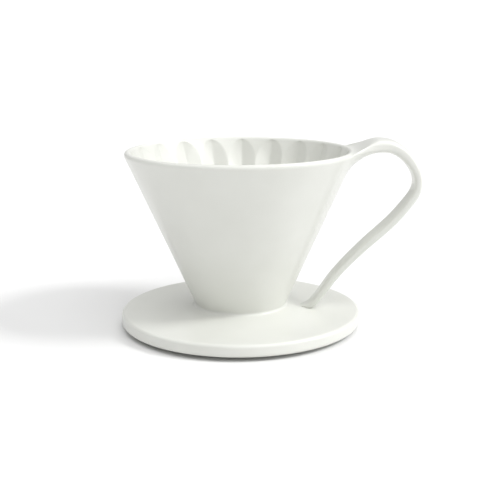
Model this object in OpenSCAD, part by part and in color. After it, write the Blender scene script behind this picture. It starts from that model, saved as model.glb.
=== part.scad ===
// Cone pour-over dripper: a fluted porcelain cone on a round saucer, with a strap
// handle that grows out of the rim, loops over and lands on the saucer.
// The origin is on the cone's axis, at the table. +Z is up and the handle is on +X.

/* [Cone] */
// Outer radius of the cone at its foot, on the saucer
foot_r = 20.8; // [20:0.2:22]
// Outer radius of the cone at the rim
rim_r = 54.6; // [54:0.2:56]
// Height of the wall's top, where the rim lip begins
wall_top_z = 83.9; // [83:0.1:85]
// Thickness of the lip that closes the wall's top
lip_t = 3.6; // [3.2:0.2:4]
// Thickness of the wall behind the flutes, measured level
wall_t = 2.2; // [2:0.1:2.8]
// Half of the angle of the paper cone that the rib crests hold
paper_half_angle = 30; // [29.6:0.2:31]

/* [Petal ribs] */
// Number of flutes, and of the ribs between them
rib_count = 20; // [16:1:24]
// How far below the wall's top two neighbouring flutes meet in a sharp crest
arch_height = 11; // [8:1:14]
// Part of each flute that is bare wall, at the bottom of its V
flute_floor = 0.04; // [0.02:0.01:0.2]
// Depth of a flute for each millimetre of its crest's radius, low in the cone
flute_depth_ratio = 0.14; // [0.1:0.01:0.16]

/* [Outlet] */
// Radius of the drain hole
outlet_r = 8.5; // [8:0.5:9]
// Wall of the outlet neck
neck_t = 3; // [2.4:0.2:3.4]
// Height of the neck's lower end above the table
neck_bottom_z = 2.6; // [1:0.2:3]

/* [Saucer] */
// Outer radius of the saucer
saucer_r = 58; // [56:1:64]
// Thickness of the saucer at its edge
saucer_t = 6; // [5:0.5:7]
// How far the saucer's top sweeps up from its lowest circle to the cone
sweep_rise = 2.5; // [1.5:0.1:3]
// Radius of that lowest circle
sweep_r = 46; // [42:1:50]
// Depth of that circle below the saucer's edge
dish_depth = 0.2; // [0:0.1:0.5]
// Gap between the saucer's lower face and the table
saucer_gap = 2; // [1:0.5:3]
// Rounding of the saucer's edge
saucer_edge = 1.6; // [1:0.2:2.4]
// Radius of the slip fillet where the cone meets the saucer
seam_r = 1.4; // [1:0.2:2]
// Outer radius of the ring that drops into a server's mouth
ring_r = 31; // [28:1:34]
// Wall of that ring
ring_t = 3.5; // [3:0.5:5]
// Depth of the well under the saucer, where a server's rim bears
well_depth = 2; // [1.5:0.5:2.5]
// Outer radius of the well
well_r = 50; // [46:1:52]
// How much deeper the underside is inside the ring
inner_step = 0.1; // [0.06:0.02:0.14]

/* [Handle] */
// Radius, in plan, of the hollow sides where the strap spreads into the rim
wing_side_r = 25; // [22:1:28]
// Half of the strap's width where those sides end
wing_half_w = 10; // [9:0.5:11]

/* [Hidden] */
glaze = [0.95, 0.95, 0.93];
bare_clay = [0.90, 0.88, 0.83];
// Facets of a whole turn, and of the small roundings
round_fn = 360;
edge_fn = 48;
// How far a cutting shape runs past what it cuts
cut = 0.01;

saucer_top_z = saucer_gap + saucer_t;
well_z = saucer_gap + well_depth;
inner_z = well_z + inner_step;
neck_r = outlet_r + neck_t;
lip_r = lip_t / 2;
lip_mid_r = rim_r - lip_r;
rim_in_r = rim_r - lip_t;
crest_slope = tan(paper_half_angle);
wall_slope = (rim_r - foot_r) / (wall_top_z - saucer_top_z);
// The circle where the saucer's top meets the cone's outer wall
collar_z = saucer_top_z - dish_depth + sweep_rise;
collar_r = foot_r + wall_slope * (collar_z - saucer_top_z);
// Slopes there, as angles: the wall leans out from upright, the top falls from level
wall_lean = atan(wall_slope);
top_fall = atan(2 * sweep_rise / (sweep_r - collar_r));
// Inner edge of the saucer's rounding, and the number of steps across its top
edge_in_r = saucer_r - saucer_edge;
top_steps = 24;
// Height at which the rib crests reach the drain hole
neck_top_z = wall_top_z - (rim_in_r - outlet_r) / crest_slope;

// Radii of the outer wall, the rib crests and the flute floors at height z. Low in the
// cone the flutes are shallow, and higher up they reach the wall.
shallow = 0.3;
function outer_r(z) = foot_r + wall_slope * (z - saucer_top_z);
function crest_r(z) = rim_in_r - crest_slope * (wall_top_z - z);
function floor_r(z) = min(outer_r(z) - wall_t, crest_r(z) * (1 + flute_depth_ratio) + shallow);
// Height where the floor stops following the outer wall
floor_turn_z = let (k = 1 + flute_depth_ratio)
    (outer_r(0) - wall_t - shallow - k * crest_r(0)) / (k * crest_slope - wall_slope);

// Ribs: their pitch as an angle, the share of it that they fill, how far they stand below
// the wall's top and off the wall, half of a crest's width as an angle, the number of
// steps round a rib's back, and the levels of its rings, closest near the top
rib_pitch = 360 / rib_count;
rib_fill = 0.995;
rib_clear = 0.05;
rib_gap = 0.02;
crest_half = 0.01;
back_steps = 4;
rib_steps = 11;
rib_levels = [for (i = [0:rib_steps]) let (k = i / rib_steps)
    wall_top_z - rib_clear - k * k * (2 - k) * (wall_top_z - neck_top_z - 2 * rib_clear)];

// Handle. Each station is [x, z, width, thickness] on the strap's middle line, in the
// plane y = 0. The strap starts on the wing's end, at the crest, and ends above the saucer.
strap_stations = [
    [66, 87.7, 20, 6.2], [70.1, 87.4, 18.4, 6], [74.5, 85.6, 17, 5.7],
    [78.6, 82.2, 15.6, 5.1], [82.2, 77.3, 14.6, 4.4], [84.3, 71.6, 14, 4],
    [83.6, 65.6, 13.8, 4], [80.5, 60.6, 13.8, 4.1], [73, 51.7, 13.6, 4.2],
    [63.1, 42.5, 13, 4.2], [52.9, 32.6, 11.8, 4], [43.9, 22.2, 10.8, 3.9],
    [37.6, 13.3, 10, 3.6]
];
// The foot carries on from there, turns in and runs out flat on the saucer
foot_stations = [
    [37.6, 13.3, 10, 3.6], [35.4, 10.8, 9.8, 3.4], [33.1, 9.4, 8.8, 2.6],
    [30.7, 9, 6.6, 1.3], [28.9, 8.9, 4.4, 0.5]
];
// The wing: [x, top, bottom] of each upright section. Its sides are two hollow arcs.
wing_stations = [
    [44, 85.4, 62], [48, 85.5, 71], [50, 85.6, 74], [52, 85.7, 77], [54, 85.9, 79],
    [56, 86.4, 80.7], [58, 87.2, 82], [60, 88.4, 82.8], [63, 90, 83.8], [66, 90.8, 84.6]
];
wing_side_x = sqrt(pow(rim_r + wing_side_r, 2) - pow(wing_half_w + wing_side_r, 2));
wing_root_half = rim_r * (wing_half_w + wing_side_r) / (rim_r + wing_side_r);
strap_steps = 4;
wing_steps = 2;
section_points = 20;
// 1 gives an elliptic section, and less a squarer one
corner_power = 0.55;

// Height of the saucer's top at radius r: a hollow sweep down from the cone to the lowest
// circle, then a soft rise to the edge
function ease(k) = k * k * (3 - 2 * k);
function top_z(r) = saucer_top_z - dish_depth + (r < sweep_r
    ? sweep_rise * pow((sweep_r - r) / (sweep_r - collar_r), 2)
    : dish_depth * ease((r - sweep_r) / (edge_in_r - sweep_r)));

// The saucer's outline in section, with its hollows filled. The cone's foot stands in the
// shallow socket at its middle.
module saucer_profile() {
    polygon([
        [0, saucer_gap],
        [edge_in_r, saucer_gap],
        for (i = [top_steps:-1:0]) let (r = collar_r + (edge_in_r - collar_r) * i / top_steps) [r, top_z(r)],
        [foot_r, saucer_top_z],
        [0, saucer_top_z]
    ]);
    translate([0, saucer_gap + saucer_edge]) square([saucer_r, saucer_t - 2 * saucer_edge]);
    for (z = [saucer_gap + saucer_edge, saucer_top_z - saucer_edge])
        translate([edge_in_r, z]) circle(saucer_edge, $fn = edge_fn);
}

// The lip is a half round laid on the wall's flat top
module lip_profile() {
    translate([lip_mid_r, wall_top_z]) intersection() {
        circle(lip_r, $fn = edge_fn);
        translate([-lip_r, 0]) square([2 * lip_r, lip_r]);
    }
}

// Skins a stack of rings that all have the same number of points
module skin(rings) {
    n = len(rings[0]);
    last = len(rings) - 1;
    polyhedron(
        points = [for (ring = rings) each ring],
        faces = [
            [for (i = [0:n - 1]) i],
            for (k = [0:last - 1], i = [0:n - 1]) let (j = (i + 1) % n)
                each [[k * n + i, (k + 1) * n + i, (k + 1) * n + j], [k * n + i, (k + 1) * n + j, k * n + j]],
            [for (i = [n - 1:-1:0]) last * n + i]
        ]
    );
}

// Points round a rounded oblong, from its half sizes
function soft(v) = sign(v) * pow(abs(v), corner_power);
function oblong(a, b) = [for (i = [0:section_points - 1])
    let (turn = 360 * (i + 0.5) / section_points) [a * soft(cos(turn)), b * soft(sin(turn))]];

// A smooth curve through a list of stations
function spline(p, steps) =
    let (
        n = len(p),
        ends = concat([2 * p[0] - p[1]], p, [2 * p[n - 1] - p[n - 2]])
    )
    [for (i = [1:n - 1], k = [0:steps - 1]) spline_at(ends, i, k / steps), p[n - 1]];
function spline_at(p, i, t) = 0.5 * (
    2 * p[i] + (p[i + 1] - p[i - 1]) * t
    + (2 * p[i - 1] - 5 * p[i] + 4 * p[i + 1] - p[i + 2]) * t * t
    + (3 * p[i] - p[i - 1] - 3 * p[i + 1] + p[i + 2]) * t * t * t);

// Oblong rings square to a curve of stations. The first ring's slope is given.
function sweep_rings(p, first_angle) =
    let (last = len(p) - 1)
    [for (i = [0:last])
        let (
            d = p[min(i + 1, last)] - p[max(i - 1, 0)],
            angle = i == 0 ? first_angle : atan2(d[1], d[0])
        )
        [for (q = oblong(p[i][2] / 2, p[i][3] / 2))
            [p[i][0] - q[1] * sin(angle), -q[0], p[i][1] + q[1] * cos(angle)]]
    ];

// Share of the pitch that is cut by a flute at height z: none at the wall's top
function flute_share(z) = let (k = min(1, (wall_top_z - z) / arch_height)) sqrt(1 - pow(1 - k, 2));

// One rib is a ridge with flat sides, so each flute between two ribs is a V. Going down, it
// is a wide land between two arch heads, then a sharp crest, and it ends on the neck. This
// is its outline at height z, as pairs of radius and angle.
function rib_outline(z) =
    let (
        full = rib_pitch / 2 * rib_fill,
        land = full * (1 - flute_share(z)),
        foot = max(land, full * (1 - flute_floor * flute_share(z))),
        back_r = floor_r(z) - rib_gap
    )
    [
        [crest_r(z), -land - crest_half],
        [crest_r(z), land + crest_half],
        for (i = [0:back_steps]) [back_r, foot * (1 - 2 * i / back_steps)]
    ];

// Half of the wing's width at x
function wing_half(x) = let (d = wing_side_x - x)
    d < wing_side_r ? min(wing_root_half, wing_half_w + wing_side_r - sqrt(pow(wing_side_r, 2) - d * d))
                    : wing_root_half;

module cone_wall() {
    color(glaze) rotate_extrude($fn = round_fn) polygon([
        [neck_r, saucer_top_z],
        [foot_r, saucer_top_z],
        [rim_r, wall_top_z],
        [floor_r(wall_top_z), wall_top_z],
        [floor_r(floor_turn_z), floor_turn_z],
        [floor_r(neck_top_z), neck_top_z],
        [neck_r, neck_top_z]
    ]);
}

module petal_ribs() {
    rings = [for (z = rib_levels) [for (p = rib_outline(z)) [p[0] * cos(p[1]), p[0] * sin(p[1]), z]]];
    color(glaze) for (i = [0:rib_count - 1]) rotate([0, 0, (i + 0.5) * rib_pitch]) skin(rings);
}

module rim_lip() {
    color(glaze) rotate_extrude($fn = round_fn) lip_profile();
}

module outlet_neck() {
    color(glaze) rotate_extrude($fn = round_fn)
        translate([outlet_r, neck_bottom_z]) square([neck_t, neck_top_z - neck_bottom_z]);
}

module cone_seam() {
    junction = [collar_r, collar_z];
    top_normal = [sin(top_fall), cos(top_fall)];
    wall_normal = [cos(wall_lean), -sin(wall_lean)];
    middle = junction + seam_r * (top_normal + wall_normal) / (1 + top_normal * wall_normal);
    color(glaze) rotate_extrude($fn = round_fn) difference() {
        polygon([junction, middle - seam_r * top_normal, middle, middle - seam_r * wall_normal]);
        translate(middle) circle(seam_r, $fn = edge_fn);
        saucer_profile();
    }
}

module saucer() {
    color(glaze) rotate_extrude($fn = round_fn) difference() {
        saucer_profile();
        translate([0, saucer_gap - cut]) square([well_r, well_depth + cut]);
        square([ring_r, inner_z]);
        square([neck_r, saucer_top_z + 1]);
    }
}

module locating_ring() {
    color(bare_clay) rotate_extrude($fn = round_fn)
        translate([ring_r - ring_t, 0]) square([ring_t, inner_z]);
}

module handle_strap() {
    color(glaze) skin(sweep_rings(spline(strap_stations, strap_steps), 0));
}

module handle_foot() {
    join = len(strap_stations) - 1;
    run = strap_stations[join] - (strap_stations[join - 1] + strap_stations[join]) / 2;
    color(glaze) difference() {
        skin(sweep_rings(spline(foot_stations, strap_steps), atan2(run[1], run[0])));
        rotate_extrude($fn = round_fn) saucer_profile();
    }
}

// Everything inside the cone's and the lip's outer faces
module cone_space() {
    rotate_extrude($fn = round_fn) {
        polygon([[0, saucer_top_z], [foot_r, saucer_top_z], [rim_r, wall_top_z], [0, wall_top_z]]);
        translate([0, wall_top_z - cut]) square([lip_mid_r, rim_r]);
        lip_profile();
    }
}

module handle_wing() {
    rings = [for (s = spline(wing_stations, wing_steps))
        let (middle = (s[1] + s[2]) / 2, half_height = (s[1] - s[2]) / 2)
        [for (q = oblong(wing_half(s[0]), half_height)) [s[0], -q[0], middle + q[1]]]];
    color(glaze) difference() {
        skin(rings);
        cone_space();
    }
}

cone_wall();
petal_ribs();
rim_lip();
outlet_neck();
cone_seam();
saucer();
locating_ring();
handle_wing();
handle_strap();
handle_foot();
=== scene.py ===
"""Looks of a porcelain cone dripper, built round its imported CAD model.

Shapes are worked out in millimetres, in the CAD model's own frame, and turned into metres
when a mesh is made. The axis of the cone is the Z axis and the handle is on +X.
"""

import math

import bpy
import numpy as np
from mathutils import Matrix, Vector


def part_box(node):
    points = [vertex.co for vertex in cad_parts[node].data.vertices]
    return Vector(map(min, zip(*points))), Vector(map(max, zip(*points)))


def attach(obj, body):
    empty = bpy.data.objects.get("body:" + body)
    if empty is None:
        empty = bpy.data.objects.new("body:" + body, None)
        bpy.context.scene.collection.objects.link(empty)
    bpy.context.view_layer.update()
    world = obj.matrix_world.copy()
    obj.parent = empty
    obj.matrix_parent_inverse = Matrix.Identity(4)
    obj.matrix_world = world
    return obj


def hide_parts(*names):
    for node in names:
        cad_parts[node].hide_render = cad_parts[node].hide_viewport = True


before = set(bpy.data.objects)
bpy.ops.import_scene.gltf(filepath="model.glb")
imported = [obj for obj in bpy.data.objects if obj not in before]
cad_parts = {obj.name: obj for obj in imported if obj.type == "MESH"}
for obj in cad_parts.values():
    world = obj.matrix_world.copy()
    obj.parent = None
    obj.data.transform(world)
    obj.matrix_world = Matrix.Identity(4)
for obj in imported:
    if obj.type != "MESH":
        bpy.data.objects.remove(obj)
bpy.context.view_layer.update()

# ---------------------------------------------------------------- sizes, in millimetres

MM = 0.001


def node_box(name):
    """Lowest and highest corner of a CAD node, in millimetres."""
    low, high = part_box(name)
    return np.array(low) / MM, np.array(high) / MM


wall_low, wall_high = node_box("cone_wall")
saucer_low, saucer_high = node_box("saucer")
neck_low, neck_high = node_box("outlet_neck")
ring_low, ring_high = node_box("locating_ring")
lip_high = node_box("rim_lip")[1]

# Cone: the straight outer wall runs from its foot in the saucer to the rim.
FOOT_R = 20.8
FOOT_Z = wall_low[2]
RIM_R = wall_high[1]
WALL_TOP_Z = wall_high[2]
RIM_TOP_Z = lip_high[2]
WALL_T = 2.2
WALL_SLOPE = (RIM_R - FOOT_R) / (WALL_TOP_Z - FOOT_Z)
# The rib crests lie on the paper's cone, which has this radius at the wall's top.
PAPER_R = 51.0
PAPER_HALF_ANGLE = 30
PAPER_SLOPE = math.tan(math.radians(PAPER_HALF_ANGLE))

# Flutes: a pointed head just below the lip, then a V-shaped channel down to the drain.
FLUTES = 20
HALF_PITCH = 180 / FLUTES
VALLEY_SOFTNESS = 0.06
APEX_DROP = 0.9
APEX_Z = RIM_TOP_Z - APEX_DROP
ARCH_HEIGHT = 11.0
CREST_HALF = 0.32
CREST_SOFTNESS = 0.05
LOW_DEPTH_RATIO = 0.14
LOW_DEPTH = 0.3
DEPTH_BLEND = 0.6
FLUTE_END_Z = 10.0
FLUTE_FADE = 9.0

# Drain: the flutes fade into a soft mouth above a plain bore, and the neck ends in a round.
BORE_R = 8.5
MOUTH_R = 6.0
NECK_R = neck_high[0]
NECK_BOTTOM_Z = neck_low[2]
NECK_END_R = 1.1
NECK_ROOT_R = 0.7

# Saucer and the ring under it. The top sweeps down from the cone's wall to its lowest
# circle and then rises a little to the edge.
SAUCER_R = saucer_high[1]
SAUCER_BOTTOM_Z = saucer_low[2]
SAUCER_EDGE = 1.6
EDGE_TOP_Z = 8.0
SWEEP_RISE = 2.5
SWEEP_R = 46.0
DISH_DEPTH = 0.2
COLLAR_Z = EDGE_TOP_Z - DISH_DEPTH + SWEEP_RISE
COLLAR_R = FOOT_R + WALL_SLOPE * (COLLAR_Z - FOOT_Z)
EDGE_IN_R = SAUCER_R - SAUCER_EDGE
WELL_R = 50.0
WELL_DEPTH = 2.0
WELL_Z = SAUCER_BOTTOM_Z + WELL_DEPTH
WELL_EDGE_R = 0.7
WELL_CORNER_R = 0.8
INNER_Z = ring_high[2]
RING_R = ring_high[0]
RING_T = 3.5
RING_IN_R = RING_R - RING_T
RING_EDGE_R = 0.9
# How far the saucer's hidden surfaces run inside the neck, the cone's foot and its wall
NECK_LAP = 1.5
FOOT_LAP = 1.0
WALL_LAP = 0.5
HOLE_R = NECK_R - NECK_LAP

# Slip seam: its size, how deep it lies in the corner and how deep its hidden back lies
SEAM_R = 1.4
SEAM_SINK = 0.04
SEAM_BACK = 0.6
# Its unevenness: share of its size, waves round the cone, and phase in radians
SEAM_WAVES = [(0.10, 3, 0.7), (0.07, 7, 2.1), (0.04, 17, 0)]
# A bead of glaze that gathered in it, on the side away from the handle
BEAD_ANGLE = math.radians(183)
BEAD_SPREAD = math.radians(4.5)
BEAD_GROWTH = 1.1

# Handle: [x, z, width, thickness] along the strap's middle line, in the plane y = 0. The
# last stations are its foot, which turns in and runs out flat on the saucer.
STRAP = [
    [66, 87.7, 20, 6.2], [70.1, 87.4, 18.4, 6.0], [74.5, 85.6, 17, 5.7],
    [78.6, 82.2, 15.6, 5.1], [82.2, 77.3, 14.6, 4.4], [84.3, 71.6, 14, 4.0],
    [83.6, 65.6, 13.8, 4.0], [80.5, 60.6, 13.8, 4.1], [73, 51.7, 13.6, 4.2],
    [63.1, 42.5, 13, 4.2], [52.9, 32.6, 11.8, 4.0], [43.9, 22.2, 10.8, 3.9],
    [37.6, 13.3, 10, 3.6], [35.4, 10.8, 9.7, 3.4], [33.1, 9.4, 8.6, 2.6],
    [30.7, 9.0, 6.4, 1.3], [28.9, 8.7, 4.0, 0.6],
]
CORNER_POWER = 0.55
# The strap's root on the rim: how far round it reaches in degrees, how far down the wall,
# how its loop is spaced over the lip and down the wall, and how deep it is buried
ROOT_ANGLE = 25.3
ROOT_LOW_Z = 73.0
LIP_POWER = 0.6
WALL_POWER = 1.2
ROOT_DEPTH = 1.2
# The spread from root to strap: how strongly it leaves and arrives, as shares of its length
LEAVE_PULL = 0.95
ARRIVE_PULL = 1.05

# ---------------------------------------------------------------- how finely it is cut up

WALL_ROWS = 24
LIP_ROWS = 18
EVEN_LIP_ROWS = 8
HEAD_ROW_STEP = 0.25
LOW_ROWS = 42
LOW_ROWS_END_Z = 13
MOUTH_ROWS = 8
BORE_ROWS = 5
NECK_END_ROWS = 6
NECK_ROOT_ROWS = 5
CORNER_ROWS = 6
FLUTE_COLUMNS = 22
LAND_COLUMNS = 6
VALLEY_CROWDING = 1.35
EVEN_SPREAD = HALF_PITCH * FLUTE_COLUMNS / (FLUTE_COLUMNS + LAND_COLUMNS)
NARROW_SPREAD = 1.8
SPREAD_BLEND = 0.3
SAUCER_COLUMNS = 288
SAUCER_TOP_ROWS = 60
EDGE_ROWS = 10
RING_COLUMNS = 240
SEAM_COLUMNS = 360
SEAM_ROWS = 10
SECTION_POINTS = 48
STATION_STEPS = 9
ROOT_ROWS = 26
ROOT_ROW_POWER = 1.15


# ---------------------------------------------------------------- mesh helpers


def ease(share):
    """A share from 0 to 1, with a soft start and end."""
    return share * share * (3 - 2 * share)


def direction(azimuth, elevation):
    """The unit vector at an azimuth and elevation, in radians."""
    level = math.cos(elevation)
    return (level * math.cos(azimuth), level * math.sin(azimuth), math.sin(elevation))


def turned(radius, turn, height):
    """A row of points at this radius and height, at the angles turn round the axis."""
    return np.column_stack((radius * np.cos(turn), radius * np.sin(turn), height + 0 * turn))


def add_object(name, data):
    """A new object in the scene."""
    thing = bpy.data.objects.new(name, data)
    bpy.context.scene.collection.objects.link(thing)
    return thing


def new_piece(name, points, faces, material, replaces, sharp_points=()):
    """A smooth-shaded mesh piece from points in millimetres, riding on the root body."""
    mesh = bpy.data.meshes.new(name)
    mesh.from_pydata((np.asarray(points) * MM).tolist(), [], faces)
    mesh.validate()
    mesh.shade_smooth()
    mesh.materials.append(material)
    piece = add_object(name, mesh)
    sharp = set(sharp_points)
    if sharp:
        for edge in mesh.edges:
            edge.use_edge_sharp = edge.vertices[0] in sharp and edge.vertices[1] in sharp
    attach(piece, "root")
    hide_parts(*replaces)
    return piece


def grid_faces(rows, columns, close_rows=False):
    """Quads of a grid whose columns wrap round, and whose rows may too."""
    faces = []
    for row in range(rows if close_rows else rows - 1):
        here = row * columns
        above = (row + 1) % rows * columns
        for column in range(columns):
            after = (column + 1) % columns
            faces.append((here + column, here + after, above + after, above + column))
    return faces


def arc(middle, radius, start, end, steps):
    """Points (radius, height) on an arc, from angle start to end in degrees."""
    angles = np.radians(np.linspace(start, end, steps + 1))
    across = middle[0] + radius * np.cos(angles)
    up = middle[1] + radius * np.sin(angles)
    return np.column_stack((across, up))


def line(start, end, steps):
    """Points on a straight line without its two ends."""
    share = np.linspace(0, 1, steps + 1)[1:-1, None]
    return np.array(start) + (np.array(end) - np.array(start)) * share


def rounded_outline(corners, radii):
    """A closed (radius, height) outline whose corners are rounded to the given radii."""
    corners = np.array(corners, float)
    outline = []
    for index, radius in enumerate(radii):
        here = corners[index]
        to_last = corners[index - 1] - here
        to_next = corners[(index + 1) % len(corners)] - here
        to_last /= np.linalg.norm(to_last)
        to_next /= np.linalg.norm(to_next)
        if radius == 0:
            outline.append(here)
            continue
        half = math.acos(np.clip(to_last @ to_next, -1, 1)) / 2
        reach = radius / math.tan(half)
        bisector = (to_last + to_next) / np.linalg.norm(to_last + to_next)
        middle = here + bisector * radius / math.sin(half)
        first = here + to_last * reach - middle
        final = here + to_next * reach - middle
        turn = math.atan2(first[0] * final[1] - first[1] * final[0], first @ final)
        start = math.atan2(first[1], first[0])
        for share in np.linspace(0, 1, CORNER_ROWS + 1):
            angle = start + turn * share
            outline.append(middle + radius * np.array([math.cos(angle), math.sin(angle)]))
    return np.array(outline)


def even_turn(columns):
    """Angles of evenly spaced columns, in radians."""
    return np.linspace(0, 2 * math.pi, columns, endpoint=False)


def closed_piece(name, rows, material, replaces):
    """A piece from rows of points that each close into a ring, as the rows do too."""
    points = np.array(rows)
    faces = grid_faces(points.shape[0], points.shape[1], close_rows=True)
    return new_piece(name, points.reshape(-1, 3), faces, material, replaces)


def spun_piece(name, outline, columns, material, replaces):
    """A closed piece from a (radius, height) outline turned round the axis."""
    turn = even_turn(columns)
    rows = [turned(radius, turn, height) for radius, height in outline]
    return closed_piece(name, rows, material, replaces)


def cubic_spline(stations, steps):
    """A curvature-continuous curve through the stations, with its points and slopes."""
    stations = np.array(stations, float)
    chords = np.linalg.norm(np.diff(stations[:, :2], axis=0), axis=1)
    count = len(stations)
    system = np.zeros((count, count))
    system[0, 0] = 1
    system[-1, -1] = 1
    right = np.zeros((count, stations.shape[1]))
    for i in range(1, count - 1):
        system[i, i - 1 : i + 2] = chords[i - 1], 2 * (chords[i - 1] + chords[i]), chords[i]
        slope_after = (stations[i + 1] - stations[i]) / chords[i]
        slope_before = (stations[i] - stations[i - 1]) / chords[i - 1]
        right[i] = 6 * (slope_after - slope_before)
    bend = np.linalg.solve(system, right)
    points = []
    slopes = []
    for i in range(count - 1):
        chord = chords[i]
        last = i == count - 2
        for ahead in np.linspace(0, 1, steps + 1)[: None if last else -1]:
            back = 1 - ahead
            sag = ((back**3 - back) * bend[i] + (ahead**3 - ahead) * bend[i + 1]) * chord**2 / 6
            points.append(back * stations[i] + ahead * stations[i + 1] + sag)
            lean = ((1 - 3 * back**2) * bend[i] + (3 * ahead**2 - 1) * bend[i + 1]) * chord / 6
            slopes.append((stations[i + 1] - stations[i]) / chord + lean)
    return np.array(points), np.array(slopes)


# ---------------------------------------------------------------- the cone's surfaces


def outer_r(z):
    """Radius of the cone's outside at height z."""
    return FOOT_R + WALL_SLOPE * (z - FOOT_Z)


def paper_r(z):
    """Radius of the paper's cone at height z."""
    return PAPER_R - PAPER_SLOPE * (WALL_TOP_Z - z)


def flute_depth(z):
    """Depth of a flute's middle behind the crests: to the wall, or shallower low down."""
    to_wall = outer_r(z) - WALL_T - paper_r(z)
    low = paper_r(z) * LOW_DEPTH_RATIO + LOW_DEPTH
    depth = (to_wall + low - np.sqrt((to_wall - low) ** 2 + DEPTH_BLEND**2)) / 2
    return depth * ease(np.clip((z - FLUTE_END_Z) / FLUTE_FADE, 0, 1))


def lip_circle():
    """Middle and radius of the round that touches the wall, the rim's top and the paper's cone."""
    wall_lean = math.atan(WALL_SLOPE)
    paper_lean = math.atan(PAPER_SLOPE)
    wall_out = np.array([math.cos(wall_lean), -math.sin(wall_lean)])
    paper_out = np.array([-math.cos(paper_lean), math.sin(paper_lean)])
    system = []
    right = []
    for out, radius in ((wall_out, RIM_R), (paper_out, PAPER_R)):
        system.append([out[0], 1 - out[1]])
        right.append(out @ np.array([radius, WALL_TOP_Z]) - out[1] * RIM_TOP_Z)
    middle_r, lip_r = np.linalg.solve(np.array(system), right)
    return np.array([middle_r, RIM_TOP_Z - lip_r]), lip_r


LIP_MIDDLE, LIP_R = lip_circle()
WALL_LEAN = math.atan(WALL_SLOPE)
WALL_DEG = math.degrees(WALL_LEAN)
PAPER_DEG = math.degrees(math.atan(PAPER_SLOPE))


def flute_reach(z):
    """Half of a flute's width at height z, as an angle in degrees: a round-headed arch."""
    drop = np.clip((APEX_Z - z) / ARCH_HEIGHT, 0, 1)
    return (HALF_PITCH - CREST_HALF) * math.sqrt(1 - (1 - drop) ** 2)


def column_angles(spread):
    """Angles of all columns in degrees, and each one's angle from its own flute's middle.

    The columns of a flute lie within spread of its middle, and closest together there.
    """
    even = np.linspace(-1, 1, FLUTE_COLUMNS + 1)[:-1]
    over_flute = spread * np.sign(even) * np.abs(even) ** VALLEY_CROWDING
    over_land = np.linspace(spread, 2 * HALF_PITCH - spread, LAND_COLUMNS + 1)[:-1]
    one = np.concatenate((over_flute, over_land))
    middles = np.arange(FLUTES) * 2 * HALF_PITCH
    return (middles[:, None] + one).ravel(), np.tile(one, FLUTES)


def fluted_radius(z, phase):
    """Radius of the inner surface at angles phase from the nearest flute's middle."""
    least_reach = 0.001
    well_outside = 3
    phase = np.abs((phase + HALF_PITCH) % (2 * HALF_PITCH) - HALF_PITCH)
    reach = max(flute_reach(z), least_reach)
    head = reach / (HALF_PITCH - CREST_HALF)
    across = np.sqrt(np.clip(phase / reach, 0, well_outside) ** 2 + VALLEY_SOFTNESS**2)
    hollow = flute_depth(z) * head * (1 - across)
    soft = CREST_SOFTNESS * head
    return paper_r(z) + (hollow + np.sqrt(hollow**2 + 4 * soft**2)) / 2


def outside_rows():
    """(height, radius, spread) for each row up the wall and over the lip."""
    rows = []
    foot = np.array([FOOT_R, FOOT_Z])
    wall_end = LIP_MIDDLE + LIP_R * np.array([math.cos(-WALL_LEAN), math.sin(-WALL_LEAN)])
    for share in np.linspace(0, 1, WALL_ROWS + 1)[:-1]:
        radius, height = foot * (1 - share) + wall_end * share
        rows.append((height, radius, EVEN_SPREAD))
    lip = arc(LIP_MIDDLE, LIP_R, -WALL_DEG, 180 - PAPER_DEG, LIP_ROWS)
    for index, (radius, height) in enumerate(lip[:-1]):
        share = ease(max(0, (index - EVEN_LIP_ROWS) / (LIP_ROWS - EVEN_LIP_ROWS)))
        rows.append((height, radius, EVEN_SPREAD + (NARROW_SPREAD - EVEN_SPREAD) * share))
    return rows, lip[-1][1]


def fluted_rows(top_z):
    """(height, spread) for each row down the fluted inside, close together at the arch heads."""
    head_end = APEX_Z - ARCH_HEIGHT
    head_heights = np.arange(top_z, head_end, -HEAD_ROW_STEP)
    low_heights = np.linspace(head_end, LOW_ROWS_END_Z, LOW_ROWS)
    rows = []
    for height in np.concatenate((head_heights, low_heights)):
        reach = flute_reach(height)
        gap = math.sqrt((reach - NARROW_SPREAD) ** 2 + SPREAD_BLEND)
        rows.append((height, min((reach + NARROW_SPREAD + gap) / 2, HALF_PITCH - CREST_HALF)))
    return rows


def drain_outline():
    """(radius, height) outline down the bore, round the neck's end and back into the clay."""
    reach = MOUTH_R * math.tan(math.radians(PAPER_DEG / 2))
    corner_z = WALL_TOP_Z - (PAPER_R - BORE_R) / PAPER_SLOPE
    end_z = NECK_BOTTOM_Z + NECK_END_R
    mouth_middle = (BORE_R + MOUTH_R, corner_z - reach)
    root_middle = (NECK_R + NECK_ROOT_R, INNER_Z - NECK_ROOT_R)
    mouth = arc(mouth_middle, MOUTH_R, 180 - PAPER_DEG, 180, MOUTH_ROWS)
    inner_end = arc((BORE_R + NECK_END_R, end_z), NECK_END_R, 180, 270, NECK_END_ROWS)
    outer_end = arc((NECK_R - NECK_END_R, end_z), NECK_END_R, 270, 360, NECK_END_ROWS)
    root = arc(root_middle, NECK_ROOT_R, 180, 90, NECK_ROOT_ROWS)
    bore = line(mouth[-1], inner_end[0], BORE_ROWS)
    # the rest lies hidden inside the saucer and leads back to the foot of the wall
    hidden = np.array(
        [
            [NECK_R + 2 * NECK_ROOT_R, INNER_Z + 1],
            [FOOT_R - 2, INNER_Z + 1.5],
            [FOOT_R - 0.4, FOOT_Z - 0.6],
        ]
    )
    return np.vstack((mouth, bore, inner_end, outer_end, root, hidden))


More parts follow.
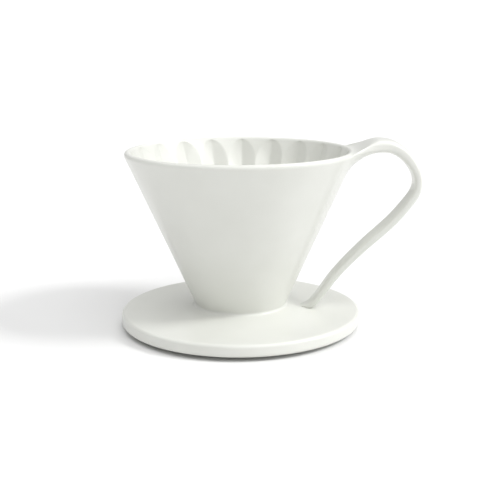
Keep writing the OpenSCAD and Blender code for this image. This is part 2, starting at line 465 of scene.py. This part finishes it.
def make_cone(material):
    """The cone, its lip, the flutes, the drain and the neck: one casting."""
    rows = []
    outside, top_z = outside_rows()
    for height, radius, spread in outside:
        angles, _ = column_angles(spread)
        rows.append(turned(radius, np.radians(angles), height))
    for height, spread in fluted_rows(top_z):
        angles, phase = column_angles(spread)
        rows.append(turned(fluted_radius(height, phase), np.radians(angles), height))
    angles, _ = column_angles(HALF_PITCH - CREST_HALF)
    for radius, height in drain_outline():
        rows.append(turned(radius, np.radians(angles), height))
    replaced = ["cone_wall", "petal_ribs", "rim_lip", "outlet_neck"]
    closed_piece("cone_body", rows, material, replaced)


# ---------------------------------------------------------------- saucer, ring and slip seam


def saucer_top(radius):
    """Height of the saucer's top at this distance from the axis."""
    if radius < SWEEP_R:
        rise = SWEEP_RISE * ((SWEEP_R - radius) / (SWEEP_R - COLLAR_R)) ** 2
    else:
        rise = DISH_DEPTH * ease((radius - SWEEP_R) / (EDGE_IN_R - SWEEP_R))
    return EDGE_TOP_Z - DISH_DEPTH + rise


def make_saucer(material):
    """The saucer: it sweeps down from the cone, and has a rounded edge and a well under it."""
    socket_r = COLLAR_R - WALL_LAP
    socket = [(HOLE_R, FOOT_Z), (FOOT_R - FOOT_LAP, FOOT_Z), (socket_r, saucer_top(socket_r))]
    top_radii = np.linspace(COLLAR_R, EDGE_IN_R, SAUCER_TOP_ROWS + 1)[:-1]
    top = [(radius, saucer_top(radius)) for radius in top_radii]
    upper_middle = (EDGE_IN_R, EDGE_TOP_Z - SAUCER_EDGE)
    lower_middle = (EDGE_IN_R, SAUCER_BOTTOM_Z + SAUCER_EDGE)
    upper_edge = arc(upper_middle, SAUCER_EDGE, 90, 0, EDGE_ROWS)
    lower_edge = arc(lower_middle, SAUCER_EDGE, 0, -90, EDGE_ROWS)
    under = rounded_outline(
        [
            (EDGE_IN_R, SAUCER_BOTTOM_Z), (WELL_R, SAUCER_BOTTOM_Z), (WELL_R, WELL_Z),
            (RING_R, WELL_Z), (RING_R, INNER_Z), (HOLE_R, INNER_Z), (HOLE_R, FOOT_Z),
        ],
        [0, WELL_EDGE_R, WELL_CORNER_R, 0, 0, 0, 0],
    )
    outline = np.vstack((socket, top, upper_edge, lower_edge, under[1:-1]))
    spun_piece("saucer_plate", outline, SAUCER_COLUMNS, material, ["saucer"])


def make_ring(material):
    """The bare clay ring that drops into a server's mouth."""
    bottom_z = ring_low[2]
    outline = rounded_outline(
        [(RING_IN_R, bottom_z), (RING_R, bottom_z), (RING_R, INNER_Z), (RING_IN_R, INNER_Z)],
        [RING_EDGE_R, RING_EDGE_R, 0, 0],
    )
    piece = spun_piece("foot_ring", outline, RING_COLUMNS, material, ["locating_ring"])


def make_seam(material):
    """The slip fillet where cone and saucer meet, wiped by hand and so a little uneven."""
    around = even_turn(SEAM_COLUMNS)
    uneven = sum(size * np.sin(waves * around + phase) for size, waves, phase in SEAM_WAVES)
    bead = BEAD_GROWTH * np.exp(-(((around - BEAD_ANGLE) / BEAD_SPREAD) ** 2))
    size = SEAM_R * (1 + uneven + bead)
    fall = math.atan(2 * SWEEP_RISE / (SWEEP_R - COLLAR_R))
    top_normal = np.array([math.sin(fall), math.cos(fall)])
    wall_normal = np.array([math.cos(WALL_LEAN), -math.sin(WALL_LEAN)])
    outward = (top_normal + wall_normal) / (1 + top_normal @ wall_normal)
    corner = np.array([COLLAR_R, COLLAR_Z]) - SEAM_SINK * outward
    rows = []
    for turn in np.linspace(-math.pi / 2 - fall, -math.pi - WALL_LEAN, SEAM_ROWS + 1):
        way = outward + np.array([math.cos(turn), math.sin(turn)])
        radius, height = corner[:, None] + way[:, None] * size
        rows.append(turned(radius, around, height))
    radius, height = corner - SEAM_BACK * outward
    rows.append(turned(radius, around, height))
    closed_piece("slip_seam", rows, material, ["cone_seam"])


# ---------------------------------------------------------------- handle


SECTION_TURN = np.radians((np.arange(SECTION_POINTS) + 0.5) * 360 / SECTION_POINTS)


def soft_sign(value):
    """From -1 to 1 like a cosine or sine, but held longer at the ends: it rounds a box."""
    return np.sign(value) * np.abs(value) ** CORNER_POWER


def strap_rings():
    """Rings of the strap and its foot, each square to the middle line."""
    stations, slopes = cubic_spline(STRAP, STATION_STEPS)
    across = soft_sign(np.cos(SECTION_TURN))
    up = soft_sign(np.sin(SECTION_TURN))
    rings = []
    for (x, z, width, thickness), slope in zip(stations, slopes):
        run = slope[:2] / np.linalg.norm(slope[:2])
        offset = up * thickness / 2
        ring = (x - offset * run[1], -across * width / 2, z + offset * run[0])
        rings.append(np.column_stack(ring))
    return np.array(rings)


def root_loop():
    """The strap's root: a loop of points on the lip and the wall, with their normals."""
    points = []
    normals = []
    lip_foot_z = LIP_MIDDLE[1] + LIP_R * math.sin(-WALL_LEAN)
    for turn in SECTION_TURN:
        azimuth = -math.radians(ROOT_ANGLE) * math.cos(turn)
        rise = math.sin(turn)
        if rise >= 0:
            tilt = -WALL_LEAN + (math.pi / 2 + WALL_LEAN) * rise**LIP_POWER
            radius, height = LIP_MIDDLE + LIP_R * np.array([math.cos(tilt), math.sin(tilt)])
        else:
            tilt = -WALL_LEAN
            height = lip_foot_z - (lip_foot_z - ROOT_LOW_Z) * (-rise) ** WALL_POWER
            radius = outer_r(height)
        points.append((radius * math.cos(azimuth), radius * math.sin(azimuth), height))
        normals.append(direction(azimuth, tilt))
    return np.array(points), np.array(normals)


def root_spread(root, normals, rings):
    """Rows that lead from the root loop, along the rim's surface, into the strap's first ring."""
    first = rings[0]
    chord = first - root
    length = np.linalg.norm(chord, axis=1)[:, None]
    leave = chord - normals * np.sum(chord * normals, axis=1)[:, None]
    leave *= LEAVE_PULL * length / np.linalg.norm(leave, axis=1)[:, None]
    arrive = rings[1] - first
    arrive *= ARRIVE_PULL * length / np.linalg.norm(arrive, axis=1)[:, None]
    rows = []
    for share in np.linspace(0, 1, ROOT_ROWS + 1)[:-1] ** ROOT_ROW_POWER:
        square = share**2
        cube = share**3
        rows.append(
            (2 * cube - 3 * square + 1) * root + (cube - 2 * square + share) * leave
            + (3 * square - 2 * cube) * first + (cube - square) * arrive
        )
    return np.array(rows)


def make_handle(material):
    """The strap handle: it grows out of the rim, loops over and lands on the saucer."""
    rings = strap_rings()
    root, normals = root_loop()
    buried = root - normals * ROOT_DEPTH
    points = np.concatenate((buried[None], root_spread(root, normals, rings), rings))
    faces = grid_faces(len(points), SECTION_POINTS)
    # the hidden end is closed by upright strips, so that it follows the wall round
    for column in range(SECTION_POINTS // 2 - 1):
        partner = SECTION_POINTS - 1 - column
        faces.append((column + 1, column, partner, partner - 1))
    last = (len(points) - 1) * SECTION_POINTS
    faces.append(tuple(range(last, last + SECTION_POINTS)))
    new_piece(
        "strap_handle", points.reshape(-1, 3), faces, material,
        ["handle_wing", "handle_strap", "handle_foot"],
        sharp_points=range(SECTION_POINTS, 2 * SECTION_POINTS),
    )


# ---------------------------------------------------------------- materials


# Glaze: two close whites in soft clouds, and how rough they are
GLAZE_DARK = (0.716, 0.724, 0.679, 1)
GLAZE_LIGHT = (0.749, 0.757, 0.714, 1)
GLAZE_DARK_END = 0.3
GLAZE_LIGHT_END = 0.7
GLAZE_SMOOTH = 0.34
GLAZE_ROUGH = 0.44
GLAZE_SPECULAR = 0.5
COAT_WEIGHT = 0.4
COAT_ROUGHNESS = 0.12
CLOUD_SCALE = 42
CLOUD_DETAIL = 3
PEEL_SCALE = 900
PEEL_DETAIL = 2
PEEL_STRENGTH = 0.12
PEEL_HEIGHT = 0.00012
# Bare clay: two chalky tones in a fine grain
CLAY_DARK = (0.66, 0.62, 0.55, 1)
CLAY_LIGHT = (0.80, 0.77, 0.71, 1)
CLAY_ROUGHNESS = 0.9
GRAIN_SCALE = 1400
GRAIN_DETAIL = 5
GRAIN_STRENGTH = 0.5
GRAIN_HEIGHT = 0.0001


def new_material(name):
    """A node material, with its shader."""
    material = bpy.data.materials.new(name)
    material.use_nodes = True
    return material, material.node_tree.nodes["Principled BSDF"]


def add_noise(material, scale, detail):
    """A noise pattern fixed to the object."""
    nodes = material.node_tree.nodes
    links = material.node_tree.links
    place = nodes.new("ShaderNodeTexCoord")
    noise = nodes.new("ShaderNodeTexNoise")
    noise.inputs["Scale"].default_value = scale
    noise.inputs["Detail"].default_value = detail
    links.new(place.outputs["Object"], noise.inputs["Vector"])
    return noise


def add_tone(material, shader, noise, dark, light, dark_end=0.0, light_end=1.0):
    """Base colour that follows the noise from a dark to a light tone."""
    links = material.node_tree.links
    tone = material.node_tree.nodes.new("ShaderNodeValToRGB")
    dark_stop, light_stop = tone.color_ramp.elements
    dark_stop.position = dark_end
    dark_stop.color = dark
    light_stop.position = light_end
    light_stop.color = light
    links.new(noise.outputs["Fac"], tone.inputs["Fac"])
    links.new(tone.outputs["Color"], shader.inputs["Base Color"])


def add_bump(material, shader, noise, strength, height):
    """A fine relief that follows the noise."""
    links = material.node_tree.links
    bump = material.node_tree.nodes.new("ShaderNodeBump")
    bump.inputs["Strength"].default_value = strength
    bump.inputs["Distance"].default_value = height
    links.new(noise.outputs["Fac"], bump.inputs["Height"])
    links.new(bump.outputs["Normal"], shader.inputs["Normal"])


def make_glaze():
    """Satin white porcelain glaze: a faint cloudy tone and a little orange peel."""
    material, shader = new_material("satin_white_glaze")
    cloud = add_noise(material, CLOUD_SCALE, CLOUD_DETAIL)
    add_tone(material, shader, cloud, GLAZE_DARK, GLAZE_LIGHT, GLAZE_DARK_END, GLAZE_LIGHT_END)
    rough = material.node_tree.nodes.new("ShaderNodeMapRange")
    rough.inputs["To Min"].default_value = GLAZE_SMOOTH
    rough.inputs["To Max"].default_value = GLAZE_ROUGH
    links = material.node_tree.links
    links.new(cloud.outputs["Fac"], rough.inputs["Value"])
    links.new(rough.outputs["Result"], shader.inputs["Roughness"])
    peel = add_noise(material, PEEL_SCALE, PEEL_DETAIL)
    add_bump(material, shader, peel, PEEL_STRENGTH, PEEL_HEIGHT)
    shader.inputs["Coat Weight"].default_value = COAT_WEIGHT
    shader.inputs["Coat Roughness"].default_value = COAT_ROUGHNESS
    shader.inputs["Specular IOR Level"].default_value = GLAZE_SPECULAR
    return material


def make_clay():
    """Bare fired porcelain: matt, chalky and faintly grained."""
    material, shader = new_material("bare_fired_clay")
    grain = add_noise(material, GRAIN_SCALE, GRAIN_DETAIL)
    add_tone(material, shader, grain, CLAY_DARK, CLAY_LIGHT)
    add_bump(material, shader, grain, GRAIN_STRENGTH, GRAIN_HEIGHT)
    shader.inputs["Roughness"].default_value = CLAY_ROUGHNESS
    return material


# ---------------------------------------------------------------- stage, light and camera

FLOOR_HALF = 6.0
FLOOR_WHITE = (0.86, 0.86, 0.86, 1)
FLOOR_ROUGHNESS = 0.9
FLOOR_SPECULAR = 0.1

# Each soft distant light: the azimuth and elevation that it comes from, its angular size,
# all in degrees, and its strength
LIGHTS = {
    "key_light": (-14, 43, 16, 1.46),
    "front_light": (-64, 55, 44, 1.1),
    "side_light": (4, 24, 44, 0.52),
    "left_light": (182, 62, 50, 0.58),
    "back_light": (66, 50, 40, 0.5),
}

# The white room's strength as fill, in reflections and behind the object
ROOM_WHITE = (1, 1, 1, 1)
ROOM_FILL = 0.345
ROOM_REFLECTED = 0.6
ROOM_BACKDROP = 1.1

# The photograph's viewpoint: in front of the object, a little above it. Angles in degrees,
# place in metres, lens and sensor in millimetres.
VIEW_YAW = -0.64
VIEW_PITCH = 13.21
VIEW_ROLL = -0.24
VIEW_PLACE = (0.0096, -0.4431, 0.1408)
LENS = 67.5
SENSOR_WIDTH = 36
CLIP_START = 0.02
CLIP_END = 50


def make_floor():
    """A plain white floor, large enough to fill every view."""
    half = FLOOR_HALF
    corners = [(-half, -half, 0), (half, -half, 0), (half, half, 0), (-half, half, 0)]
    mesh = bpy.data.meshes.new("floor")
    mesh.from_pydata(corners, [], [(0, 1, 2, 3)])
    floor = add_object("floor", mesh)
    material, shader = new_material("white_floor")
    shader.inputs["Base Color"].default_value = FLOOR_WHITE
    shader.inputs["Roughness"].default_value = FLOOR_ROUGHNESS
    shader.inputs["Specular IOR Level"].default_value = FLOOR_SPECULAR
    mesh.materials.append(material)


def make_light(name, azimuth, elevation, softness, strength):
    """A soft distant light that comes from the given azimuth and elevation."""
    data = bpy.data.lights.new(name, "SUN")
    data.angle = math.radians(softness)
    data.energy = strength
    light = add_object(name, data)
    source = Vector(direction(math.radians(azimuth), math.radians(elevation)))
    light.rotation_mode = "QUATERNION"
    light.rotation_quaternion = (-source).to_track_quat("-Z", "Y")


def make_world():
    """White light from all round, with its own strength for each kind of ray."""
    world = bpy.data.worlds.new("white_room")
    world.use_nodes = True
    nodes = world.node_tree.nodes
    links = world.node_tree.links
    path = nodes.new("ShaderNodeLightPath")
    surface = nodes["Background"]
    surface.inputs["Color"].default_value = ROOM_WHITE
    surface.inputs["Strength"].default_value = ROOM_FILL
    for rays, strength in (("Is Glossy Ray", ROOM_REFLECTED), ("Is Camera Ray", ROOM_BACKDROP)):
        seen = nodes.new("ShaderNodeBackground")
        seen.inputs["Color"].default_value = ROOM_WHITE
        seen.inputs["Strength"].default_value = strength
        mix = nodes.new("ShaderNodeMixShader")
        links.new(path.outputs[rays], mix.inputs["Fac"])
        links.new(surface.outputs[0], mix.inputs[1])
        links.new(seen.outputs[0], mix.inputs[2])
        surface = mix
    links.new(surface.outputs[0], nodes["World Output"].inputs["Surface"])
    bpy.context.scene.world = world


def make_camera():
    """The camera, turned by its yaw, then its pitch, then its roll."""
    yaw = math.radians(VIEW_YAW)
    pitch = math.radians(VIEW_PITCH)
    roll = math.radians(VIEW_ROLL)
    level = math.cos(pitch)
    forward = np.array([math.sin(yaw) * level, math.cos(yaw) * level, -math.sin(pitch)])
    flat_right = np.array([math.cos(yaw), -math.sin(yaw), 0.0])
    flat_up = np.cross(flat_right, forward)
    right = flat_right * math.cos(roll) + flat_up * math.sin(roll)
    up = flat_up * math.cos(roll) - flat_right * math.sin(roll)
    data = bpy.data.cameras.new("camera")
    data.lens = LENS
    data.sensor_width = SENSOR_WIDTH
    data.clip_start = CLIP_START
    data.clip_end = CLIP_END
    camera = add_object("camera", data)
    axes = Matrix(np.column_stack((right, up, -forward)).tolist()).to_4x4()
    axes.translation = VIEW_PLACE
    camera.matrix_world = axes
    bpy.context.scene.camera = camera


# ---------------------------------------------------------------- the whole scene

glaze = make_glaze()
make_cone(glaze)
make_saucer(glaze)
make_ring(make_clay())
make_seam(glaze)
make_handle(glaze)

make_floor()
for name, settings in LIGHTS.items():
    make_light(name, *settings)
make_world()
make_camera()
bpy.context.scene.view_settings.view_transform = "Standard"
